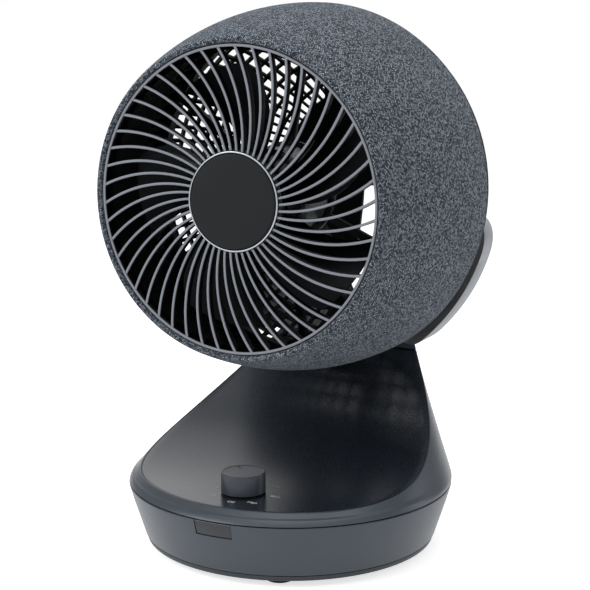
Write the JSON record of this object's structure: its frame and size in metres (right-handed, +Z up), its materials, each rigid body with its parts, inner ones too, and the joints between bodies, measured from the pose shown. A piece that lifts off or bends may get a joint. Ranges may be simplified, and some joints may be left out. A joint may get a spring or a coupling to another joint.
{
  "type": "desk air circulator fan",
  "caption": "Round fabric-clad air circulator head with a spiral grille on a tilting cradle, a sloped swivel pedestal with a speed knob, and a round base.",
  "frame": {"origin": "middle of the object's outline on the floor plane, at the feet's underside", "axes": "+Z up, the fan blows along -Y, +X to the object's right as seen from its front"},
  "size_m": [0.24, 0.245, 0.3533],
  "materials": {
    "base_plastic": "fine satin, injection moulded",
    "rubber": "matt",
    "bowl_plastic": "satin, injection moulded",
    "window_plastic": "polished, infrared clear tint",
    "board": "solder mask",
    "cast_ballast": "as cast",
    "zinc_steel": "zinc plated",
    "nylon": "natural",
    "inner_plastic": "matt",
    "motor_can": "drawn",
    "panel_plastic": "satin gloss",
    "brass_nut": "turned",
    "knob_plastic": "satin",
    "cradle_plastic": "satin, injection moulded",
    "fabric": "woven melange",
    "grille_plastic": "satin",
    "bright_ring": "satin",
    "cap_plastic": "satin",
    "duct_plastic": "matt",
    "rotor_plastic": "satin gloss",
    "guard_plastic": "matt"
  },
  "bodies": {
    "base": {"base_plate": "base_plastic", "foot_1": "rubber", "foot_2": "rubber", "foot_3": "rubber", "foot_4": "rubber", "foot_5": "rubber", "base_bowl": "bowl_plastic", "ir_window": "window_plastic", "ir_board": "board", "ballast_ring": "cast_ballast", "swivel_post": "zinc_steel", "swivel_gear": "nylon", "glide_ring": "nylon", "retainer_nut": "zinc_steel"},
    "pedestal": {"swivel_pan": "inner_plastic", "control_board": "board", "swivel_drive": "motor_can", "pedestal_shell": "bowl_plastic", "control_panel": "panel_plastic", "rotary_switch": "inner_plastic", "switch_nut": "brass_nut", "cradle": "cradle_plastic", "tilt_arm": "inner_plastic"},
    "swivel_pinion": {"pinion": "nylon"},
    "knob": {"speed_knob": "knob_plastic"},
    "head": {"tilt_pin": "zinc_steel", "tilt_nut": "zinc_steel", "tilt_washer_left": "nylon", "tilt_washer_right": "nylon", "head_shell": "inner_plastic", "fabric_cover": "fabric", "front_grille": "grille_plastic", "cap_ring": "bright_ring", "grille_cap": "cap_plastic", "duct": "duct_plastic", "motor": "motor_can", "motor_mount": "inner_plastic", "rear_guard": "guard_plastic"},
    "rotor": {"fan_rotor": "rotor_plastic", "spinner_nut": "rotor_plastic", "motor_shaft": "zinc_steel"}
  },
  "joints": [
    {"name": "swivel", "type": "hinge", "parent": "base", "child": "pedestal", "pos_m": [0, -0.01496, 0.0425], "axis": [0, 0, 1], "range_deg": [-40, 40]},
    {"name": "pinion_turn", "type": "hinge", "parent": "pedestal", "child": "swivel_pinion", "pos_m": [0, 0.02104, 0.015], "axis": [0, 0, 1], "range_deg": [-165, 165]},
    {"name": "knob_turn", "type": "hinge", "parent": "pedestal", "child": "knob", "pos_m": [0, -0.08096, 0.055], "axis": [0, 0, 1], "range_deg": [0, 270]},
    {"name": "tilt", "type": "hinge", "parent": "pedestal", "child": "head", "pos_m": [0, -0.00396, 0.234], "axis": [-1, 0, 0], "range_deg": [-5, 40]},
    {"name": "fan_spin", "type": "hinge", "parent": "head", "child": "rotor", "pos_m": [0, -0.00396, 0.234], "axis": [0, -0.9998, 0.0218], "continuous": true}
  ],
  "couplings": [
    {"joint": "pinion_turn", "follows": "swivel", "ratio": 4}
  ]
}
